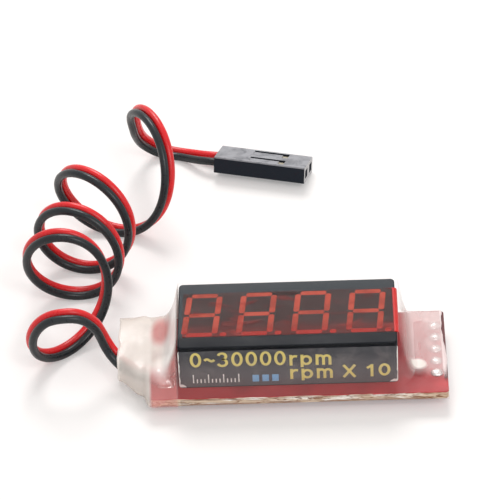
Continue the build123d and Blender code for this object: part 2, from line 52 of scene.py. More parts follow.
def addNode(tree, kind, **settings):
    node = tree.nodes.new(kind)
    for key, value in settings.items():
        setattr(node, key, value)
    return node


def newMaterial(name, colour, roughness, shine=0.5, metallic=0.0):
    material = bpy.data.materials.new(name)
    material.use_nodes = True
    tree = material.node_tree
    shader = next(node for node in tree.nodes if node.type == "BSDF_PRINCIPLED")
    shader.inputs["Base Color"].default_value = (*colour, 1)
    shader.inputs["Roughness"].default_value = roughness
    shader.inputs["Specular IOR Level"].default_value = shine
    shader.inputs["Metallic"].default_value = metallic
    return material, tree, shader


def objectPlace(tree, stretch=(1, 1, 1), shift=(0, 0, 0)):
    coordinate = addNode(tree, "ShaderNodeTexCoord")
    mapping = addNode(tree, "ShaderNodeMapping")
    mapping.inputs["Scale"].default_value = stretch
    mapping.inputs["Location"].default_value = shift
    tree.links.new(coordinate.outputs["Object"], mapping.inputs["Vector"])
    return mapping.outputs["Vector"]


def noiseField(tree, perMetre, detail=4.0, stretch=(1, 1, 1), distortion=0.0, shift=(0, 0, 0)):
    field = addNode(tree, "ShaderNodeTexNoise")
    field.inputs["Scale"].default_value = perMetre
    field.inputs["Detail"].default_value = detail
    field.inputs["Distortion"].default_value = distortion
    tree.links.new(objectPlace(tree, stretch, shift), field.inputs["Vector"])
    return field.outputs["Fac"]


def rangeOf(tree, value, low, high, toLow=0.0, toHigh=1.0, smooth=False):
    node = addNode(tree, "ShaderNodeMapRange")
    if smooth:
        node.interpolation_type = "SMOOTHSTEP"
    for key, limit in (("From Min", low), ("From Max", high), ("To Min", toLow), ("To Max", toHigh)):
        if isinstance(limit, (int, float)):
            node.inputs[key].default_value = limit
        else:
            tree.links.new(limit, node.inputs[key])
    tree.links.new(value, node.inputs["Value"])
    return node.outputs["Result"]


def combine(tree, operation, first, second, clamp=False):
    node = addNode(tree, "ShaderNodeMath", operation=operation, use_clamp=clamp)
    for socket, value in zip(node.inputs, (first, second)):
        if isinstance(value, (int, float)):
            socket.default_value = value
        else:
            tree.links.new(value, socket)
    return node.outputs["Value"]


def plus(tree, first, second, clamp=False):
    return combine(tree, "ADD", first, second, clamp)


def times(tree, first, second):
    return combine(tree, "MULTIPLY", first, second)


def larger(tree, first, second):
    return combine(tree, "MAXIMUM", first, second)


def unsigned(tree, value):
    return combine(tree, "ABSOLUTE", value, 0)


def remainder(tree, share):
    return combine(tree, "SUBTRACT", 1, share)


def blendColours(tree, share, first, second):
    node = addNode(tree, "ShaderNodeMix", data_type="RGBA")
    for socket, value in ((node.inputs[0], share), (node.inputs[6], first), (node.inputs[7], second)):
        if isinstance(value, tuple):
            socket.default_value = (*value, 1)
        elif isinstance(value, (int, float)):
            socket.default_value = value
        else:
            tree.links.new(value, socket)
    return node.outputs[2]


def axisOf(tree, axis):
    parts = addNode(tree, "ShaderNodeSeparateXYZ")
    tree.links.new(objectPlace(tree), parts.inputs[0])
    return parts.outputs[axis]


def pastLine(tree, axis, start, stop, smooth=False):
    # 0 before start and 1 past stop, along one axis, in millimetres
    return rangeOf(tree, axisOf(tree, axis), start * mm, stop * mm, smooth=smooth)


def facing(tree, axis):
    parts = addNode(tree, "ShaderNodeSeparateXYZ")
    geometry = addNode(tree, "ShaderNodeNewGeometry")
    tree.links.new(geometry.outputs["Normal"], parts.inputs[0])
    return parts.outputs[axis]


def spot(tree, middle, radii, soft=0.6):
    # 1 inside an ellipsoid given in millimetres, 0 outside it
    stretch = [1 / (radius * mm) for radius in radii]
    shift = [-value / radius for value, radius in zip(middle, radii)]
    length = addNode(tree, "ShaderNodeVectorMath", operation="LENGTH")
    tree.links.new(objectPlace(tree, stretch, shift), length.inputs[0])
    return rangeOf(tree, length.outputs["Value"], 1 + soft / 2, 1 - soft / 2, smooth=True)


def addBump(tree, shader, height, strength, distance):
    bump = addNode(tree, "ShaderNodeBump")
    bump.inputs["Strength"].default_value = strength
    bump.inputs["Distance"].default_value = distance * mm
    tree.links.new(height, bump.inputs["Height"])
    tree.links.new(bump.outputs["Normal"], shader.inputs["Normal"])


def setColour(tree, shader, colour):
    tree.links.new(colour, shader.inputs["Base Color"])


def setRoughness(tree, shader, value):
    tree.links.new(value, shader.inputs["Roughness"])


# Solder mask on top and below, bare glass fibre with chips along the cut edges, and painted shade on the
# right end under the film's lip
def boardFinish():
    look = {
        "mask": (0.50, 0.034, 0.038), "maskDark": (0.34, 0.022, 0.026),
        "fibre": (0.68, 0.52, 0.38), "fleck": (0.95, 0.90, 0.82),
        # the darkest red here is painted shade, for the board's right end under the film's lip
        "burn": (0.25, 0.11, 0.05), "paintedLipShade": (0.10, 0.010, 0.012),
        "maskRoughness": 0.40, "fibreRoughness": 0.75,
        "edgeTop": (3.36, 3.42), "edgeFoot": (2.25, 1.95),      # heights on the cut edge
        "ragged": 0.8,                                          # how far the mask is chipped there
        # where the painted shade lies on the right end, and how ragged its edge is
        "paintedLipShadeX": (22.50, 22.60), "paintedLipShadeY": (-6.6, -5.6), "paintedLipShadeRagged": 0.5,
    }
    material, tree, shader = newMaterial("boardRedMask", look["mask"], 0.42, shine=0.25)
    cloud = noiseField(tree, 260, 5)
    mask = blendColours(tree, rangeOf(tree, cloud, 0.35, 0.7), look["mask"], look["maskDark"])
    streak = noiseField(tree, 700, 6, stretch=(0.3, 1, 1.6), distortion=0.8)
    line = noiseField(tree, 620, 5, stretch=(0.28, 1, 2.0), distortion=1.6, shift=(0.3, 0, 0))
    fibre = blendColours(tree, rangeOf(tree, streak, 0.50, 0.60), look["fibre"], look["fleck"])
    thin = unsigned(tree, combine(tree, "SUBTRACT", line, 0.5))
    low = times(tree, pastLine(tree, "Z", *look["edgeFoot"]), rangeOf(tree, streak, 0.42, 0.5))
    dark = larger(tree, rangeOf(tree, thin, 0.012, 0.030, 1, 0), low)
    fibre = blendColours(tree, dark, fibre, look["burn"])
    cut = rangeOf(tree, unsigned(tree, facing(tree, "Z")), 0.45, 0.55, 1, 0)
    height = plus(tree, axisOf(tree, "Z"), times(tree, line, look["ragged"] * mm))
    under = rangeOf(tree, height, look["edgeTop"][0] * mm, look["edgeTop"][1] * mm, 1, 0)
    colour = blendColours(tree, times(tree, cut, under), mask, fibre)
    # painted shade: the board's right end is darkened where the film's lip shades it
    reach = plus(tree, axisOf(tree, "X"), times(tree, line, look["paintedLipShadeRagged"] * mm))
    end = rangeOf(tree, reach, look["paintedLipShadeX"][0] * mm, look["paintedLipShadeX"][1] * mm)
    end = times(tree, end, pastLine(tree, "Y", *look["paintedLipShadeY"]))
    setColour(tree, shader, blendColours(tree, end, colour, look["paintedLipShade"]))
    setRoughness(tree, shader, rangeOf(tree, cut, 0, 1, look["maskRoughness"], look["fibreRoughness"]))
    addBump(tree, shader, plus(tree, line, streak), 0.35, 0.05)
    return material


def tinnedFinish():
    look = {"tin": (0.78, 0.78, 0.76), "bright": (0.84, 0.84, 0.82), "dull": (0.55, 0.54, 0.52)}
    material, tree, shader = newMaterial("tinnedMetal", look["tin"], 0.28, metallic=1.0)
    cloud = noiseField(tree, 1500, 4)
    setColour(tree, shader, blendColours(tree, rangeOf(tree, cloud, 0.4, 0.7), look["bright"], look["dull"]))
    setRoughness(tree, shader, rangeOf(tree, cloud, 0.3, 0.7, 0.2, 0.42))
    addBump(tree, shader, cloud, 0.3, 0.03)
    return material


# Dark shell, with a browner window that the digits stand in, and painted shade on its sides and rounded
# edges
def displayFinish():
    look = {
        "face": (0.020, 0.025, 0.031), "worn": (0.036, 0.043, 0.050), "low": (0.004, 0.005, 0.008),
        # the darkest colour here is painted shade, for every face that doesn't look up
        "window": (0.030, 0.022, 0.021), "edge": (0.003, 0.004, 0.006),
        "lowFrom": (-3.6, -4.4),                                # the strip in front of the digits
        "windowMiddle": 0.64, "windowHalf": (4.7, 4.8), "windowLeft": (-13.62, -13.52),
    }
    material, tree, shader = newMaterial("displayShell", look["face"], 0.5, shine=0.14)
    cloud = noiseField(tree, 340, 5, stretch=(0.5, 1, 1))
    grain = noiseField(tree, 5200, 2)
    face = blendColours(tree, rangeOf(tree, cloud, 0.38, 0.72), look["face"], look["worn"])
    face = blendColours(tree, pastLine(tree, "Y", *look["lowFrom"]), face, look["low"])
    across = unsigned(tree, combine(tree, "SUBTRACT", axisOf(tree, "Y"), look["windowMiddle"] * mm))
    window = rangeOf(tree, across, look["windowHalf"][0] * mm, look["windowHalf"][1] * mm, 1, 0)
    window = times(tree, window, pastLine(tree, "X", *look["windowLeft"]))
    level = rangeOf(tree, facing(tree, "Z"), 0.5, 0.9)
    face = blendColours(tree, times(tree, window, level), face, look["window"])
    # painted shade: faces that don't look up take the darkest colour
    setColour(tree, shader, blendColours(tree, remainder(tree, level), face, look["edge"]))
    setRoughness(tree, shader, rangeOf(tree, cloud, 0.3, 0.75, 0.42, 0.62))
    addBump(tree, shader, grain, 0.12, 0.02)
    return material


def segmentFinish():
    look = {"cast": (0.50, 0.066, 0.034), "hot": (0.52, 0.030, 0.020), "dull": (0.34, 0.052, 0.032),
            "hotFrom": (-2.2, -3.6)}
    material, tree, shader = newMaterial("segmentResin", look["cast"], 0.5, shine=0.15)
    cloud = noiseField(tree, 520, 3, distortion=0.4)
    cast = blendColours(tree, rangeOf(tree, cloud, 0.42, 0.66), look["cast"], look["dull"])
    setColour(tree, shader, blendColours(tree, pastLine(tree, "Y", *look["hotFrom"]), cast, look["hot"]))
    setRoughness(tree, shader, rangeOf(tree, cloud, 0.3, 0.7, 0.42, 0.6))
    return material


# Red film: almost clear from above; where it runs past the right end and is bent down it is nearly opaque
# and painted bright red, a painted glow for light shining through it
def filterFinish():
    look = {
        # the brightest red here is a painted glow, for light shining through the bent-down film
        "tint": (0.30, 0.020, 0.016), "smear": (0.42, 0.026, 0.018), "glow": (0.62, 0.022, 0.020),
        "clear": 0.055, "streaky": 0.20, "lowTint": 0.36, "bent": 0.90,      # how much each covers
        "lowFrom": (-0.6, -3.4), "tintFrom": (-13.62, -13.52), "bentFrom": (15.4, 15.6),
    }
    material, tree, shader = newMaterial("redFilm", look["tint"], 0.25, shine=0.15)
    smear = noiseField(tree, 190, 6, stretch=(0.7, 1.3, 1), distortion=1.9)
    low = pastLine(tree, "Y", *look["lowFrom"], smooth=True)
    streak = rangeOf(tree, smear, 0.52, 0.64)
    bent = pastLine(tree, "X", *look["bentFrom"])
    cover = plus(tree, look["clear"], times(tree, streak, look["streaky"]))
    cover = plus(tree, cover, times(tree, times(tree, low, smear), look["lowTint"]))
    cover = times(tree, cover, pastLine(tree, "X", *look["tintFrom"]))
    tree.links.new(larger(tree, cover, times(tree, bent, look["bent"])), shader.inputs["Alpha"])
    colour = blendColours(tree, larger(tree, streak, low), look["tint"], look["smear"])
    # painted glow: the bent-down part takes the bright red
    setColour(tree, shader, blendColours(tree, bent, colour, look["glow"]))
    addBump(tree, shader, smear, 0.1, 0.05)
    return material


# Printed face, with the white paper showing at its cut edges and rubbed corners
def labelFinish():
    look = {
        "print": (0.055, 0.056, 0.064), "rubbed": (0.125, 0.118, 0.120), "paper": (0.88, 0.86, 0.82),
        "rubbedHeight": 2.8, "rubbedShare": 0.6,                # the lower part is worn
        "cornerLength": 1.6, "cornerHeight": 0.8, "rimTear": 0.35,
    }
    low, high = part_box("range_label")
    material, tree, shader = newMaterial("printedLabel", look["print"], 0.5, shine=0.3)
    cloud = noiseField(tree, 380, 6, distortion=0.5)
    grain = noiseField(tree, 2600, 3)
    tear = noiseField(tree, 900, 4, distortion=0.8)
    face = blendColours(tree, rangeOf(tree, cloud, 0.45, 0.75), look["print"], look["rubbed"])
    lower = rangeOf(tree, axisOf(tree, "Z"), low.z + look["rubbedHeight"] * mm, low.z)
    face = blendColours(tree, times(tree, lower, look["rubbedShare"]), face, look["rubbed"])
    middle = (high.x + low.x) / 2
    reach = (high.x - low.x) / 2
    away = unsigned(tree, combine(tree, "SUBTRACT", axisOf(tree, "X"), middle))
    ends = rangeOf(tree, away, reach - look["cornerLength"] * mm, reach)
    foot = rangeOf(tree, axisOf(tree, "Z"), low.z + look["cornerHeight"] * mm, low.z)
    corner = rangeOf(tree, plus(tree, times(tree, ends, foot), times(tree, tear, 0.5)), 0.56, 0.62)
    rim = plus(tree, away, times(tree, tear, look["rimTear"] * mm))
    rim = rangeOf(tree, rim, reach + 0.03 * mm, reach + 0.08 * mm)
    front = rangeOf(tree, unsigned(tree, facing(tree, "X")), 0.4, 0.7, 1, 0)
    printed = times(tree, remainder(tree, larger(tree, corner, rim)), front)
    setColour(tree, shader, blendColours(tree, printed, look["paper"], face))
    addBump(tree, shader, plus(tree, cloud, times(tree, grain, 0.3)), 0.25, 0.06)
    return material


# Shrunk film: unseen where it lies tight on the display, milky over the ends, clear along the front edge;
# with a painted highlight band beside the display's left wall and a painted highlight spot at the front
# right
def sleeveFinish():
    look = {
        "cream": (0.93, 0.86, 0.80), "flesh": (0.95, 0.80, 0.78), "blush": (0.80, 0.26, 0.24),
        "pink": (1.0, 0.44, 0.42), "white": (1.0, 0.98, 0.95),
        "left": 0.40, "right": 0.23, "front": 0.28, "frontRight": 0.012,     # how milky each part is
        # two of these shares are painted highlights: the white band beside the display's left wall and the
        # white spot at the front right
        "mouth": 0.08, "wall": 0.40, "overPads": 0.10, "overJoints": 0.36, "paintedGlint": 0.6, "lip": 0.45,
        "strip": 0.035, "rimTight": 0.05, "rimLoose": 0.40, "rimFront": 0.35,
        "leftDepth": (0.05, 0.5), "rightDepth": (0.2, 2.4),                  # out from the display's ends
        "mouthFrom": (-17.9, -18.4), "frontFrom": (-3.7, -6.5), "stripFrom": (-7.0, -7.5),
        # where the painted highlight band beside the display's left wall starts, for its density and for its
        # white
        "paintedHighlightFrom": (-16.2, -15.2), "paintedWhiteFrom": (-16.8, -15.6), "padsFrom": (19.2, 20.4),
        "lipRight": (22.1, 22.3), "lipLeft": (-22.55, -22.7),
        "blushSpot": ((-16.9, 3.0, 5.4), (1.3, 2.6, 3.2), 1.0),              # middle, radii, softness
        "jointSpot": ((-16.2, -4.9, 4.4), (2.0, 2.0, 2.6), 0.9),
        "paintedGlintSpot": ((18.8, -3.7, 4.2), (1.1, 1.0, 3), 0.5),
    }
    low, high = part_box("display_housing")
    material, tree, shader = newMaterial("clearSleeve", look["cream"], 0.22)
    cloud = noiseField(tree, 150, 4, distortion=0.9)
    folds = noiseField(tree, 260, 4, stretch=(1.4, 0.7, 0.7), distortion=1.2)
    leftEnd = pastLine(tree, "X", *[low.x / mm - depth for depth in look["leftDepth"]], smooth=True)
    rightEnd = pastLine(tree, "X", *[high.x / mm + depth for depth in look["rightDepth"]], smooth=True)
    ends = larger(tree, leftEnd, rightEnd)
    mouth = pastLine(tree, "X", *look["mouthFrom"])
    front = times(tree, pastLine(tree, "Y", *look["frontFrom"], smooth=True), remainder(tree, mouth))
    blush = times(tree, spot(tree, *look["blushSpot"]), remainder(tree, front))
    joints = spot(tree, *look["jointSpot"])
    # painted highlight: a milky white spot in the film at the front right, for a lamp's glint
    paintedGlint = spot(tree, *look["paintedGlintSpot"])

    left = plus(tree, look["left"], rangeOf(tree, cloud, 0.3, 0.7, -0.06, 0.08))
    left = plus(tree, left, times(tree, mouth, look["mouth"]))
    # painted highlight: the film is made denser in a band just left of the display
    left = plus(tree, left, times(tree, pastLine(tree, "X", *look["paintedHighlightFrom"]), look["wall"]))
    left = rangeOf(tree, front, 0, 1, left, look["front"])
    left = plus(tree, left, times(tree, joints, look["overJoints"]))
    right = rangeOf(tree, axisOf(tree, "Y"), -3 * mm, 6 * mm, look["right"] - 0.05, look["right"] + 0.05)
    right = plus(tree, right, rangeOf(tree, folds, 0.35, 0.7, -0.03, 0.07))
    right = plus(tree, right, times(tree, pastLine(tree, "X", *look["padsFrom"]), look["overPads"]))
    right = rangeOf(tree, front, 0, 1, right, look["frontRight"])
    right = plus(tree, right, times(tree, paintedGlint, look["paintedGlint"]))
    lip = plus(tree, pastLine(tree, "X", *look["lipRight"]), pastLine(tree, "X", *look["lipLeft"]))
    lip = times(tree, times(tree, lip, look["lip"]), remainder(tree, front))
    haze = plus(tree, plus(tree, times(tree, left, leftEnd), times(tree, right, rightEnd)), lip)

    weight = addNode(tree, "ShaderNodeLayerWeight")
    weight.inputs["Blend"].default_value = 0.2
    rim = rangeOf(tree, ends, 0, 1, look["rimTight"], look["rimLoose"])
    rim = times(tree, weight.outputs["Fresnel"], rim)
    rim = times(tree, rim, rangeOf(tree, front, 0, 1, 1, look["rimFront"]))
    strip = times(tree, pastLine(tree, "Y", *look["stripFrom"]), rangeOf(tree, ends, 0, 1, look["strip"], 0))
    tree.links.new(plus(tree, haze, plus(tree, rim, strip), clamp=True), shader.inputs["Alpha"])

    flesh = times(tree, larger(tree, rightEnd, front), remainder(tree, paintedGlint))
    colour = blendColours(tree, flesh, look["cream"], look["flesh"])
    rosy = times(tree, times(tree, front, remainder(tree, joints)), leftEnd)
    colour = blendColours(tree, rosy, colour, look["pink"])
    # painted highlight: that band is painted white
    wall = times(tree, pastLine(tree, "X", *look["paintedWhiteFrom"]), combine(tree, "SUBTRACT", leftEnd, front))
    colour = blendColours(tree, wall, colour, look["white"])
    setColour(tree, shader, blendColours(tree, times(tree, blush, 0.75), colour, look["blush"]))
    addBump(tree, shader, folds, 0.12, 0.2)
    return material


def wireFinish(name, colour, dark, gloss):
    material, tree, shader = newMaterial(name, colour, 0.34, shine=gloss)
    cloud = noiseField(tree, 300, 4)
    grain = noiseField(tree, 2400, 3)
    setColour(tree, shader, blendColours(tree, rangeOf(tree, cloud, 0.4, 0.75), colour, dark))
    setRoughness(tree, shader, rangeOf(tree, grain, 0.3, 0.7, 0.24, 0.40))
    addBump(tree, shader, grain, 0.12, 0.03)
    return material


# Black moulding, painted lighter grey on top and palest at its open end: painted sheen where the lamps fall
# on it, in patches
def plugFinish():
    # the grey and the pale colours are painted sheen, for the top and the open end where the light falls
    look = {"body": (0.007, 0.011, 0.018), "rubbed": (0.34, 0.34, 0.36), "paleSheen": (0.62, 0.61, 0.61),
            "endGreySheenShare": 0.9, "endPaleSheenShare": 0.55}
    material, tree, shader = newMaterial("plugPlastic", look["body"], 0.5, shine=0.18)
    cloud = noiseField(tree, 620, 5, distortion=0.7)
    grain = noiseField(tree, 4200, 3)
    # painted sheen: faces looking up, and the open end, are painted lighter in patches
    top = rangeOf(tree, facing(tree, "Z"), 0.75, 0.93)
    end = rangeOf(tree, facing(tree, "X"), 0.75, 0.93)
    worn = times(tree, larger(tree, top, times(tree, end, look["endGreySheenShare"])),
                 rangeOf(tree, cloud, 0.30, 0.55, 0.55, 1))
    colour = blendColours(tree, worn, look["body"], look["rubbed"])
    setColour(tree, shader, blendColours(tree, times(tree, end, look["endPaleSheenShare"]), colour, look["paleSheen"]))
    setRoughness(tree, shader, rangeOf(tree, grain, 0.3, 0.7, 0.42, 0.62))
    addBump(tree, shader, grain, 0.2, 0.03)
    return material


def plainFinish(name, colour, fleck, roughness, grainPerMetre):
    material, tree, shader = newMaterial(name, colour, roughness)
    grain = noiseField(tree, grainPerMetre, 4)
    setColour(tree, shader, blendColours(tree, rangeOf(tree, grain, 0.42, 0.72), colour, fleck))
    setRoughness(tree, shader, rangeOf(tree, grain, 0.3, 0.7, roughness - 0.08, roughness + 0.1))
    addBump(tree, shader, grain, 0.2, 0.02)
    return material


def inkFinish(name, colour, worn):
    material, tree, shader = newMaterial(name, colour, 0.4)
    cloud = noiseField(tree, 900, 4)
    setColour(tree, shader, blendColours(tree, rangeOf(tree, cloud, 0.45, 0.7), colour, worn))
    return material


finishes = {
    "board": boardFinish(),
    "tin": tinnedFinish(),
    "display": displayFinish(),
    "segment": segmentFinish(),
    "filter": filterFinish(),
    "label": labelFinish(),
    "film": sleeveFinish(),
    "black": wireFinish("blackWire", (0.007, 0.010, 0.013), (0.014, 0.019, 0.021), 0.35),
    "red": wireFinish("redWire", (0.76, 0.010, 0.014), (0.60, 0.008, 0.010), 0.45),
    "plug": plugFinish(),
    "contact": plainFinish("contactMetal", (0.45, 0.40, 0.30), (0.60, 0.56, 0.48), 0.35, 2500),
    "carrier": plainFinish("carrierPlastic", (0.03, 0.03, 0.032), (0.05, 0.05, 0.05), 0.5, 2500),
    "chip": plainFinish("chipEpoxy", (0.018, 0.018, 0.02), (0.04, 0.04, 0.042), 0.48, 3800),
    "white": plainFinish("whiteCeramic", (0.10, 0.10, 0.11), (0.16, 0.16, 0.17), 0.4, 3000),
    "tan": plainFinish("tanCeramic", (0.50, 0.36, 0.22), (0.60, 0.46, 0.32), 0.45, 3000),
    "yellow": plainFinish("yellowEpoxy", (0.75, 0.48, 0.08), (0.62, 0.38, 0.06), 0.42, 2200),
    "yellowInk": inkFinish("yellowInk", (0.66, 0.54, 0.15), (0.55, 0.46, 0.18)),
    "whiteInk": inkFinish("whiteInk", (0.78, 0.76, 0.72), (0.55, 0.54, 0.52)),
    "blueInk": inkFinish("blueInk", (0.16, 0.36, 0.60), (0.22, 0.40, 0.58)),
}
nodeFinish = {
    "circuit_board": "board", "tinned_pads": "tin", "display_housing": "display",
    "digit_segments": "segment", "display_base": "carrier", "display_pins": "tin", "pin_joints": "tin",
    "red_filter": "filter", "range_label": "label", "controller_body": "chip", "controller_leads": "tin",
    "digit_drivers": "chip", "digit_driver_leads": "tin", "regulator_body": "chip",
    "regulator_leads": "tin", "segment_resistors": "white", "resistor_caps": "tin",
    "ceramic_capacitors": "tan", "capacitor_caps": "tin", "tantalum_capacitor": "yellow",
    "tantalum_terminals": "tin", "clock_resonator": "tan", "resonator_terminals": "tin",
    "input_diode": "chip", "diode_terminals": "tin", "wire_cores": "tin", "plug_housing": "plug",
    "plug_contacts": "contact",
}
for nodeName, finish in nodeFinish.items():
    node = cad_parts[nodeName]
    for slot in node.material_slots:
        slot.material = finishes[finish]
print("finishes made")


# Pieces

def finishPiece(name, bm, finish, flat=False):
    if flat:                                        # printing, which faces the front
        bmesh.ops.triangulate(bm, faces=bm.faces[:])
        bm.normal_update()
        bmesh.ops.reverse_faces(bm, faces=[face for face in bm.faces if face.normal.y > 0])
    else:
        bmesh.ops.recalc_face_normals(bm, faces=bm.faces[:])
    mesh = bpy.data.meshes.new(name)
    bm.to_mesh(mesh)
    bm.free()
    mesh.polygons.foreach_set("use_smooth", [not flat] * len(mesh.polygons))
    mesh.materials.append(finishes[finish])
    piece = bpy.data.objects.new(name, mesh)
    bpy.context.scene.collection.objects.link(piece)
    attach(piece, root)
    return piece


# Twin lead: one spline for each wire, in millimetres
lead = {
    "diameter": 1.2,
    "halfGap": 0.62,          # from the middle of the pair to each wire
    "turnPoints": 16,         # control points in a turn
    "smoothness": 5,          # steps between two points, and round the wire
    "ringShare": 0.981,       # radius of the spline's ring for a ring of control points
    "coilFrom": 0.3, "coilTo": 4.46,      # turns
    "length": 225.0,
    "exit": {"black": (-22.45, -2.05, 3.6), "red": (-22.2, -0.55, 3.6)},
    "rows": [                 # every half turn: middle x, y, radius, heading in degrees
        (-29.7, -3.9, 6.2, -7.9), (-29.5, 2.3, 5.6, 20.3), (-30.6, 9.8, 6.3, 19.9),
        (-28.3, 16.3, 7.8, 2.8), (-29.5, 19.8, 6.5, -10.4), (-28.5, 22.6, 6.6, -16.6),
        (-28.1, 26.0, 6.9, -21.1), (-25.9, 29.9, 7.1, -31.9), (-21.9, 36.2, 6.6, -38.7),
        (-14.5, 43.6, 8.0, -28.8), (-7.7, 50.9, 7.9, -20.2),
    ],
    "start": {                # from the solder, out of the sleeve and up into the curl
        "black": [(-17.3, -5.4, 3.8), (-19.2, -4.8, 3.75), (-20.9, -3.4, 3.5), (-22.45, -2.05, 3.6),
                  (-23.7, -1.0, 4.5), (-24.6, -0.45, 5.95), (-25.1, -0.35, 7.65), (-25.7, -0.8, 9.7),
                  (-27.6, -1.4, 12.0)],
        "red": [(-17.25, -2.8, 3.8), (-18.6, -2.8, 3.75), (-20.1, -2.3, 3.5), (-21.65, -1.0, 3.4),
                (-23.15, 0.15, 4.2), (-24.2, 0.85, 5.8), (-24.95, 0.95, 7.8), (-25.6, 0.5, 9.9),
                (-27.9, -0.2, 12.2)],
    },
    "finish": {               # down from the curl and along to the socket
        "black": [(-21.8, 47.1, 8.2), (-21.7, 48.4, 6.3), (-21.2, 49.95, 3.9), (-20.15, 50.8, 2.2),
                  (-18.7, 51.0, 1.1), (-17.05, 51.0, 0.62), (-15.3, 50.5, 0.65), (-13.7, 49.3, 1.1),
                  (-12.1, 47.9, 1.75)],
        "red": [(-21.25, 48.1, 9.0), (-21.1, 49.3, 6.9), (-20.7, 50.95, 4.5), (-19.9, 52.0, 2.75),
                (-18.6, 52.4, 1.4), (-16.8, 52.3, 0.7), (-14.9, 51.8, 0.62), (-12.8, 50.8, 0.95),
                (-11.2, 49.9, 1.3)],
    },
}
plug = {"middle": (-2.59, 46.2, 1.884), "heading": -14.7, "tilt": 15.0, "pitch": 2.54, "rear": -7.4,
        "stop": -0.35}


def coilRow(turn):
    # the curl's middle, radius and heading at a turn, on a smooth line through the rows
    step = turn * 2
    last = len(lead["rows"]) - 1
    index = min(int(step), last - 1)
    share = step - index
    rows = [lead["rows"][min(max(index + shift, 0), last)] for shift in (-1, 0, 1, 2)]
    return [b + 0.5 * share * (c - a) + share ** 2 * (a - 2.5 * b + 2 * c - 0.5 * d)
            + share ** 3 * (1.5 * (b - c) + 0.5 * (d - a)) for a, b, c, d in zip(*rows)]


def coilPoint(turn, side=0.0):
    x, y, radius, heading = coilRow(turn)
    level = lead["diameter"] / 2 + radius
    radius /= lead["ringShare"]
    along = Vector((cos(radians(heading)), sin(radians(heading)), 0))
    angle = 2 * pi * turn
    point = Vector((x, y, level)) + along * radius * cos(angle) + Vector((0, 0, radius * sin(angle)))
    if side:
        tangent = (coilPoint(turn + 0.01) - coilPoint(turn - 0.01)).normalized()
        across = Vector((-along.y, along.x, 0))
        point += (across - tangent * across.dot(tangent)).normalized() * side
    return point


def plugPoint(along, side):
    turned = Matrix.Rotation(radians(plug["heading"]), 3, "Z")
    turned = turned @ Matrix.Rotation(radians(-plug["tilt"]), 3, "X")
    return Vector(plug["middle"]) + turned @ Vector((along, side * plug["pitch"] / 2, 0))


def makeWire(colour, side):
    points = [Vector(point) for point in lead["start"][colour]]
    turn = lead["coilFrom"]
    while turn < lead["coilTo"]:
        points.append(coilPoint(turn, side * lead["halfGap"]))
        turn += 1 / lead["turnPoints"]
    points += [Vector(point) for point in lead["finish"][colour]]
    points += [plugPoint(plug["rear"], side), plugPoint(plug["stop"], side)]
    curve = bpy.data.curves.new(colour + "Wire", "CURVE")
    curve.dimensions = "3D"
    curve.resolution_u = lead["smoothness"]
    curve.bevel_depth = lead["diameter"] / 2 * mm
    curve.bevel_resolution = lead["smoothness"]
    curve.use_fill_caps = True
    spline = curve.splines.new("NURBS")
    spline.points.add(len(points) - 1)
    for target, point in zip(spline.points, points):
        target.co = (*(point * mm), 1)
    spline.order_u = 3
    spline.use_endpoint_u = True
    curve.materials.append(finishes[colour])
    wire = bpy.data.objects.new(colour + "Wire", curve)
    bpy.context.scene.collection.objects.link(wire)
    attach(wire, root)
    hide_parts("lead_coil", "lead_" + colour + "_exit", "lead_" + colour + "_plug_run")
    return wire


wires = {"black": makeWire("black", -1), "red": makeWire("red", 1)}
print("lead made")


# Film, rolled from a grid: each row of the grid is one section of the sleeve, in millimetres
film = {
    "rows": 150, "pointsRound": 128, "wall": 0.15,
    "top": 10.5, "faceFront": -6.56, "faceBack": 7.84,                     # over the display
    "side": 8.85, "sideLow": 1.75, "sideHigh": 3.25, "base": 6.6,          # round the board
    "shoulderFront": -6.2, "shoulderBack": 6.6,                            # beside the display
    "shoulderLeft": 5.35, "shoulderRise": 0.3, "shoulderRight": 4.05, "shoulderDroop": 0.45,
    "mouthX": -22.8, "throatX": -19.4, "boardX": -18.5, "endX": 22.4,
    "wallLeft": -14.35, "climbLeft": 2.6, "wallRight": 16.4, "fallRight": 2.2, "steepness": 2.4,
    "mouth": [(-2.258, 5.0), (6.16, 5.2), (8.6, 3.8), (8.6, 1.6),
              (5.55, 0.1), (-0.55, 0.4), (-3.6, 2.0), (-3.6, 3.4)],
    "throat": [(-5.2, 5.25), (7.075, 5.25), (8.75, 3.6), (8.75, 1.5),
               (6.0, 0.0), (-4.2, 0.2), (-6.3, 1.6), (-6.3, 3.6)],
    "roundFace": 0.45, "roundSoft": 1.1, "roundSide": 0.35, "roundMouth": 1.7,
    "roundShare": 0.42,       # most of a side that one rounded corner takes
    "faceSlack": 0.4, "mouthSlack": 0.5,      # how far the tight and the slack rounding run on
    "ripple": 0.10, "rippleInset": 0.35, "looseOver": 1.5, "rippleScale": (0.55, 1.3),
    "heart": (1.0, 3.0),      # y, z that ripples point away from
    "ragged": 0.25, "raggedScale": 0.8,       # the cut ends
    "lap": 0.35, "lapFrom": 0.97, "lapY": (2.0, 4.0),
}


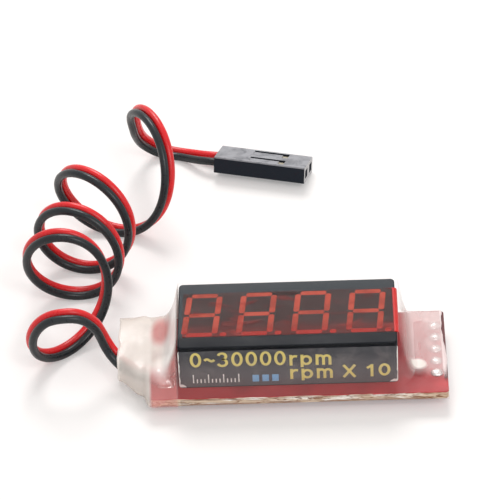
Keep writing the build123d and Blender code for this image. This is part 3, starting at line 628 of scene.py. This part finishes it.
def filmCorners(x):
    # the eight corners of a section as (y, z), from the front top round by the back
    below = [(film["side"], film["sideHigh"]), (film["side"], film["sideLow"]), (film["base"], 0),
             (-film["base"], 0), (-film["side"], film["sideLow"]), (-film["side"], film["sideHigh"])]
    overDisplay = [(film["faceFront"], film["top"]), (film["faceBack"], film["top"]), *below]

    def shoulders(level):
        return [(film["shoulderFront"], level), (film["shoulderBack"], level), *below]

    left, right = film["shoulderLeft"], film["shoulderRight"]
    stops = [(film["mouthX"], film["mouth"]), (film["throatX"], film["throat"]),
             (film["boardX"], shoulders(left)),
             (film["wallLeft"] - film["climbLeft"], shoulders(left + film["shoulderRise"])),
             (film["wallLeft"], overDisplay), (film["wallRight"], overDisplay),
             (film["wallRight"] + film["fallRight"], shoulders(right)),
             (film["endX"], shoulders(right - film["shoulderDroop"]))]
    for (start, first), (stop, second) in zip(stops, stops[1:]):
        if x <= stop:
            share = (x - start) / (stop - start)
            if start == film["wallRight"]:
                share = 1 - (1 - share) ** film["steepness"]      # falls steeply, then runs out
            elif stop == film["wallLeft"]:
                share = share ** film["steepness"]
            elif start != film["wallLeft"]:
                share = share * share * (3 - 2 * share)
            return [(a[0] + (b[0] - a[0]) * share, a[1] + (b[1] - a[1]) * share)
                    for a, b in zip(first, second)]
    return stops[-1][1]


def cornerRound(index, x):
    # how far from a corner its rounding starts
    if x < film["boardX"] + film["mouthSlack"]:
        return film["roundMouth"]
    onDisplay = film["wallLeft"] - film["faceSlack"] < x < film["wallRight"] + film["faceSlack"]
    if onDisplay and index < 2:
        return film["roundFace"]
    return film["roundSoft"] if index in (0, 1, 4, 5) else film["roundSide"]


def filmPoint(x, around):
    corners = [Vector(corner) for corner in filmCorners(x)]
    cell = (around % 1) * 8
    index, local = int(cell) % 8, cell - int(cell)
    following = (index + 1) % 8
    before, corner, after = corners[index - 1], corners[index], corners[following]
    room = film["roundShare"] * (after - corner).length
    cutIn = min(cornerRound(index, x), film["roundShare"] * (corner - before).length)
    start = corner + (before - corner).normalized() * cutIn
    stop = corner + (after - corner).normalized() * min(cornerRound(index, x), room)
    if local < 0.5:                                 # round the corner
        share = local * 2
        place = start * (1 - share) ** 2 + corner * 2 * share * (1 - share) + stop * share ** 2
    else:                                           # and along the flat to the next
        end = after + (corner - after).normalized() * min(cornerRound(following, x), room)
        place = stop.lerp(end, (local - 0.5) * 2)
    return Vector((x, place.x, place.y))


def withinOne(value):
    return max(0.0, min(1.0, value))


def makeSleeve():
    bm = bmesh.new()
    bmesh.ops.create_grid(bm, x_segments=film["rows"], y_segments=film["pointsRound"], size=0.5)
    span = film["endX"] - film["mouthX"]
    coarse, fine = film["rippleScale"]
    lapTop, lapDeep = film["lapY"]
    for vert in bm.verts:
        along, around = vert.co.x + 0.5, vert.co.y + 0.5
        x = film["mouthX"] + span * along
        point = filmPoint(x, around)
        loose = withinOne((film["wallLeft"] - x) / film["looseOver"])
        loose += withinOne((x - film["wallRight"]) / film["looseOver"])
        outward = (point - Vector((x, *film["heart"]))).normalized()
        ripple = noise.noise(point * coarse) + 0.5 * noise.noise(point * fine + Vector((4, 9, 2)))
        point += outward * (ripple - film["rippleInset"]) * film["ripple"] * loose
        cut = noise.noise(Vector((0.3, point.y * film["raggedScale"], point.z * film["raggedScale"])))
        if along > 0.99 or along < 0.01:
            point.x += cut * film["ragged"]
        if along > film["lapFrom"]:                 # the front of the right end laps further over
            share = (along - film["lapFrom"]) / (1 - film["lapFrom"])
            point.x += film["lap"] * withinOne((lapTop - point.y) / lapDeep) * share
        point.z = max(point.z, 0.0)
        vert.co = point * mm
    bmesh.ops.remove_doubles(bm, verts=bm.verts[:], dist=0.005 * mm)
    piece = finishPiece("clearSleeve", bm, "film")
    wall = piece.modifiers.new("wall", "SOLIDIFY")
    wall.thickness = film["wall"] * mm
    wall.offset = -1
    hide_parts("heat_shrink_sleeve")


makeSleeve()
print("sleeve made")


# Solder: drops over the wires, domes on the pads
solder = {
    "wireX": -16.1, "wireY": (-5.37, -2.83), "wireDrop": (1.15, 0.9, 1.15),
    "padX": 21.3, "padY": 0.36, "padPitch": 2.54, "padCount": 5, "padDrop": (0.85, 0.8, 0.38),
    "floor": 3.15,            # the pads' upper face, where the drops' middles are
    "foot": -0.05,            # where a drop is cut off flat, in its heights
    "lump": 0.10, "lumpScale": 1.4,
}


def addDrop(bm, middle, radii, seed):
    made = bmesh.ops.create_uvsphere(bm, u_segments=28, v_segments=16, radius=1.0)["verts"]
    for vert in made:
        lump = 1 + solder["lump"] * noise.noise(vert.co * solder["lumpScale"] + Vector((seed, seed * 2, 0)))
        vert.co = Vector((vert.co.x * radii[0] * lump, vert.co.y * radii[1] * lump,
                          max(vert.co.z, solder["foot"]) * radii[2] * lump)) + Vector(middle)
        vert.co *= mm


def makeSolder():
    bm = bmesh.new()
    for index, y in enumerate(solder["wireY"]):
        addDrop(bm, (solder["wireX"], y, solder["floor"]), solder["wireDrop"], 3 + index)
    joint = finishPiece("wireSolder", bm, "tin")
    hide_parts("lead_solder")
    bm = bmesh.new()
    for index in range(solder["padCount"]):
        y = solder["padY"] + (index - (solder["padCount"] - 1) / 2) * solder["padPitch"]
        addDrop(bm, (solder["padX"], y, solder["floor"]), solder["padDrop"], 8 + index)
    finishPiece("padSolder", bm, "tin")


makeSolder()
print("solder made")


# Printing on the label: each letter is strokes on a grid one cap height tall, drawn with a bold pen
printing = {
    "pen": 0.40,              # width of a stroke in millimetres
    "overrun": 0.18,          # of the pen's width, past a stroke's ends
    "lift": 0.02,             # in front of the label's face
    "layer": 0.008,           # each stroke of a letter lies this much over the last
    "tail": 0.12,             # room after a line's last letter
    "lines": [  # text, left, base line, cap height, width of the whole line, turn in degrees
        ("0~30000rpm", -12.6, 6.8, 2.65, 19.5, -0.2), ("rpm", 0.95, 4.34, 2.5, 6.1, 0.0),
        ("X", 8.25, 4.38, 2.3, 1.9, 0.0), ("10", 11.35, 4.4, 2.2, 3.6, 0.0),
    ],
}


def arc(x, y, wide, high, start, stop, count=14):
    return [(x + wide * cos(radians(start + (stop - start) * i / count)),
             y + high * sin(radians(start + (stop - start) * i / count))) for i in range(count + 1)]


letters = {  # step to the next letter, strokes
    "0": (0.80, [arc(0.33, 0.5, 0.24, 0.41, 90, 450, 28)]),
    "1": (0.72, [[(0.38, 0.92), (0.38, 0.0)], [(0.14, 0.68), (0.32, 0.82)]]),
    "3": (0.80, [arc(0.30, 0.71, 0.22, 0.20, 155, -90) + arc(0.30, 0.29, 0.25, 0.22, 90, -155)]),
    "~": (0.72, [[(0.04 + 0.52 * i / 12, 0.47 + 0.07 * sin(2 * pi * i / 12)) for i in range(13)]]),
    "r": (0.62, [[(0.14, 0.0), (0.14, 0.66)], arc(0.38, 0.36, 0.24, 0.24, 180, 70, 8)]),
    "p": (0.84, [[(0.14, -0.12), (0.14, 0.66)], arc(0.38, 0.32, 0.24, 0.26, 180, 540, 24)]),
    "m": (1.10, [[(0.14, 0.0), (0.14, 0.66)],
                 [*arc(0.32, 0.42, 0.18, 0.18, 180, 0, 10), (0.50, 0.0)],
                 [*arc(0.68, 0.42, 0.18, 0.18, 180, 0, 10), (0.86, 0.0)]]),
    "X": (0.80, [[(0.08, 0.0), (0.62, 0.90)], [(0.08, 0.90), (0.62, 0.0)]]),
}


def drawStroke(bm, points, pen, level):
    # a flat ribbon one pen wide along the points, closed where they end as they start
    closed = (Vector(points[0]) - Vector(points[-1])).length < 1e-6
    spots = [Vector(point) for point in (points[:-1] if closed else points)]
    count = len(spots)
    rail = []
    for index in range(count + 1 if closed else count):
        here = spots[index % count]
        before = spots[(index - 1) % count] if closed or index else here
        after = spots[(index + 1) % count] if closed or index < count - 1 else here
        way = (after - before).normalized()
        across = Vector((-way.y, way.x)) * pen / 2
        if not closed and index in (0, count - 1):
            here = here + way * pen * (printing["overrun"] if index else -printing["overrun"])
        if rail:                                    # pull the last pair on to the next place
            made = bmesh.ops.extrude_edge_only(bm, edges=[edge])["geom"]
            rail = sorted((item for item in made if isinstance(item, bmesh.types.BMVert)),
                          key=lambda vert: (vert.co - rail[0].co).length)
        else:
            rail = first = [bm.verts.new(), bm.verts.new()]
            bm.edges.new(rail)
        edge = next(link for link in rail[0].link_edges if link.other_vert(rail[0]) == rail[1])
        rail[0].co = (*(here + across), level)
        rail[1].co = (*(here - across), level)
    if closed:
        bmesh.ops.remove_doubles(bm, verts=first + rail, dist=1e-5)


def ontoLabel(bm, left, base, turn):
    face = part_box("range_label")[0].y / mm - printing["lift"]
    stand = (Matrix.Translation((left, face, base)) @ Matrix.Rotation(radians(turn), 4, "Y").inverted()
             @ Matrix.Rotation(radians(90), 4, "X"))
    bmesh.ops.transform(bm, matrix=Matrix.Scale(mm, 4) @ stand, verts=bm.verts[:])


def makePrinting():
    whole = bmesh.new()
    for words, left, base, high, width, turn in printing["lines"]:
        steps = [letters[letter][0] for letter in words]
        stretch = width / (sum(steps) - printing["tail"])
        line = bmesh.new()
        start = 0.0
        for letter, step in zip(words, steps):
            for layer, stroke in enumerate(letters[letter][1]):
                points = [((start + x) * stretch, y * high) for x, y in stroke]
                drawStroke(line, points, printing["pen"], printing["layer"] * layer)
            start += step
        ontoLabel(line, left, base, turn)
        lineMesh = bpy.data.meshes.new("line")
        line.to_mesh(lineMesh)
        line.free()
        whole.from_mesh(lineMesh)
        bpy.data.meshes.remove(lineMesh)
    finishPiece("rangePrint", whole, "yellowInk", flat=True)


# Plain graduations and squares below the range
marks = {
    "left": -12.3, "base": 4.0, "count": 13, "step": 0.52, "width": 0.16,
    "short": 0.7, "long": 1.5, "longEvery": 4,
    "blueLeft": -4.1, "blueWidth": 0.9, "blueStep": 1.35, "blueCount": 3, "blueHeight": 1.2,
}


def addBar(bm, left, base, width, height):
    made = bmesh.ops.create_grid(bm, x_segments=1, y_segments=1, size=0.5)["verts"]
    for vert in made:
        vert.co = Vector((left + (vert.co.x + 0.5) * width, base + (vert.co.y + 0.5) * height, 0))


def makeMarks():
    bm = bmesh.new()
    for index in range(marks["count"]):
        height = marks["long"] if index % marks["longEvery"] == 0 else marks["short"]
        addBar(bm, marks["left"] + index * marks["step"], marks["base"], marks["width"], height)
    ontoLabel(bm, 0, 0, 0)
    finishPiece("whiteMarks", bm, "whiteInk", flat=True)
    bm = bmesh.new()
    for index in range(marks["blueCount"]):
        left = marks["blueLeft"] + index * marks["blueStep"]
        addBar(bm, left, marks["base"], marks["blueWidth"], marks["blueHeight"])
    ontoLabel(bm, 0, 0, 0)
    finishPiece("blueMarks", bm, "blueInk", flat=True)


makePrinting()
makeMarks()
print("printing made")


# Floor, light and camera
studio = {
    "floorSize": 4.0,
    "floorColour": (0.97, 0.935, 0.91),
    "seenWhite": 0.28,        # share of plain white in the floor that the camera sees
    "worldLight": 0.56,       # what the surroundings give; the camera and reflections see 1
    "lamps": [  # name, place and aim in metres, size, watts
        ("keyLamp", (-0.04, 0.44, 0.60), (0, 0.02, 0), 0.30, 3.0),
        ("frontLamp", (0.25, -0.45, 0.60), (0, 0, 0), 0.40, 1.3),
        ("glintLamp", (0.16, -0.30, 0.42), (0.018, -0.004, 0.004), 0.06, 0.25),
    ],
    "camera": {  # place, aim, lens and sensor in millimetres, roll in degrees, clip in metres
        "place": (6.927, -347.535, 295.321), "aim": (-4.239, 14.797, 10.3), "roll": -2.82,
        "lens": 234.6, "sensor": 36, "clip": (0.01, 20),
    },
}


def aimAt(thing, place, aim):
    thing.location = place
    thing.rotation_euler = (Vector(aim) - Vector(place)).to_track_quat("-Z", "Y").to_euler()


def makeFloor():
    bm = bmesh.new()
    bmesh.ops.create_grid(bm, x_segments=1, y_segments=1, size=studio["floorSize"] / 2)
    mesh = bpy.data.meshes.new("floor")
    bm.to_mesh(mesh)
    bm.free()
    material = bpy.data.materials.new("paleFloor")
    material.use_nodes = True
    tree = material.node_tree
    tree.nodes.clear()
    diffuse = addNode(tree, "ShaderNodeBsdfDiffuse")
    diffuse.inputs["Color"].default_value = (*studio["floorColour"], 1)
    glow = addNode(tree, "ShaderNodeEmission")
    path = addNode(tree, "ShaderNodeLightPath")
    mix = addNode(tree, "ShaderNodeMixShader")
    output = addNode(tree, "ShaderNodeOutputMaterial")
    tree.links.new(times(tree, path.outputs["Is Camera Ray"], studio["seenWhite"]), mix.inputs[0])
    tree.links.new(diffuse.outputs[0], mix.inputs[1])
    tree.links.new(glow.outputs[0], mix.inputs[2])
    tree.links.new(mix.outputs[0], output.inputs["Surface"])
    mesh.materials.append(material)
    floor = bpy.data.objects.new("floor", mesh)
    bpy.context.scene.collection.objects.link(floor)


def makeLight():
    world = bpy.data.worlds.new("studio")
    bpy.context.scene.world = world
    world.use_nodes = True
    tree = world.node_tree
    background = next(node for node in tree.nodes if node.type == "BACKGROUND")
    background.inputs["Color"].default_value = (1, 1, 1, 1)
    path = addNode(tree, "ShaderNodeLightPath")
    seen = larger(tree, path.outputs["Is Camera Ray"], path.outputs["Is Glossy Ray"])
    seen = larger(tree, seen, path.outputs["Is Transmission Ray"])
    tree.links.new(rangeOf(tree, seen, 0, 1, studio["worldLight"], 1.0), background.inputs["Strength"])
    for name, place, aim, size, watts in studio["lamps"]:
        lamp = bpy.data.lights.new(name, "AREA")
        lamp.energy = watts
        lamp.size = size
        holder = bpy.data.objects.new(name, lamp)
        bpy.context.scene.collection.objects.link(holder)
        aimAt(holder, place, aim)


def makeCamera():
    view = studio["camera"]
    camera = bpy.data.cameras.new("camera")
    camera.lens = view["lens"]
    camera.sensor_width = view["sensor"]
    camera.clip_start, camera.clip_end = view["clip"]
    holder = bpy.data.objects.new("camera", camera)
    bpy.context.scene.collection.objects.link(holder)
    place = Vector(view["place"]) * mm
    aim = Vector(view["aim"]) * mm
    turned = (aim - place).to_track_quat("-Z", "Y").to_matrix().to_4x4()
    roll = Matrix.Rotation(radians(view["roll"]), 4, "Z")
    holder.matrix_world = Matrix.Translation(place) @ turned @ roll
    bpy.context.scene.camera = holder


makeFloor()
makeLight()
makeCamera()
bpy.context.scene.view_settings.view_transform = "Standard"
print("studio made")
